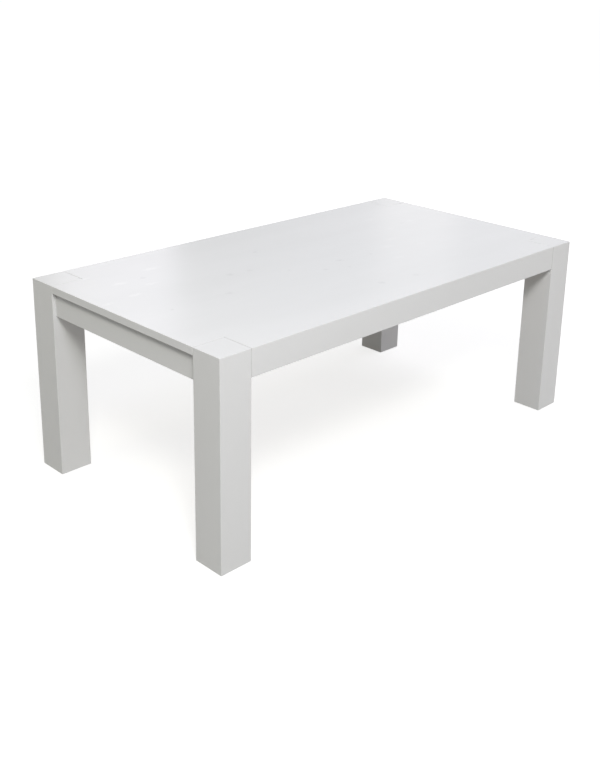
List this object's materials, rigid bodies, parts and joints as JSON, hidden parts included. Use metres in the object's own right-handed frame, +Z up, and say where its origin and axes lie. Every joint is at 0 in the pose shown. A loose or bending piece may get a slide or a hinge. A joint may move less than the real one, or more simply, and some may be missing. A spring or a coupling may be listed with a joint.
{
  "type": "parsons dining table",
  "caption": "Rectangular parsons dining table in white painted wood: thick square legs flush with the corners of the top, long rails mitred to it and end rails set back.",
  "frame": {"origin": "on the floor, under the middle of the top", "axes": "+X along the table, +Y across it towards the back, +Z up"},
  "size_m": [1.981, 1.067, 0.762],
  "materials": {
    "painted_wood": "thin white paint over wood, satin, with faint grain and brush marks",
    "inner_wood": "planed softwood, unfinished",
    "joint_wood": "beech and plywood, unfinished",
    "zinc_steel": "bright zinc plate",
    "leveller_nylon": "moulded nylon"
  },
  "bodies": {
    "table": {"top_panel": "painted_wood", "front_long_rail": "painted_wood", "back_long_rail": "painted_wood", "left_end_rail": "painted_wood", "right_end_rail": "painted_wood", "front_left_leg": "painted_wood", "front_right_leg": "painted_wood", "back_left_leg": "painted_wood", "back_right_leg": "painted_wood", "left_cross_rail": "inner_wood", "centre_cross_rail": "inner_wood", "right_cross_rail": "inner_wood", "front_left_corner_block": "inner_wood", "front_right_corner_block": "inner_wood", "back_left_corner_block": "inner_wood", "back_right_corner_block": "inner_wood", "front_mitre_tongue": "joint_wood", "back_mitre_tongue": "joint_wood", "cross_rail_dowels": "joint_wood", "hanger_bolts": "zinc_steel", "bolt_washers": "zinc_steel", "bolt_nuts": "zinc_steel", "corner_block_screws": "zinc_steel", "top_screws": "zinc_steel", "top_screw_washers": "zinc_steel", "top_clips": "zinc_steel", "clip_screws": "zinc_steel", "threaded_inserts": "zinc_steel"},
    "front_left_leveller": {"front_left_leveller_bolt": "zinc_steel", "front_left_leveller_pad": "leveller_nylon"},
    "front_right_leveller": {"front_right_leveller_bolt": "zinc_steel", "front_right_leveller_pad": "leveller_nylon"},
    "back_left_leveller": {"back_left_leveller_bolt": "zinc_steel", "back_left_leveller_pad": "leveller_nylon"},
    "back_right_leveller": {"back_right_leveller_bolt": "zinc_steel", "back_right_leveller_pad": "leveller_nylon"}
  },
  "joints": [
    {"name": "front_left_leveller_travel", "type": "slide", "parent": "table", "child": "front_left_leveller", "axis": [0, 0, -1], "range_m": [0, 0.012]},
    {"name": "front_right_leveller_travel", "type": "slide", "parent": "table", "child": "front_right_leveller", "axis": [0, 0, -1], "range_m": [0, 0.012]},
    {"name": "back_left_leveller_travel", "type": "slide", "parent": "table", "child": "back_left_leveller", "axis": [0, 0, -1], "range_m": [0, 0.012]},
    {"name": "back_right_leveller_travel", "type": "slide", "parent": "table", "child": "back_right_leveller", "axis": [0, 0, -1], "range_m": [0, 0.012]}
  ]
}
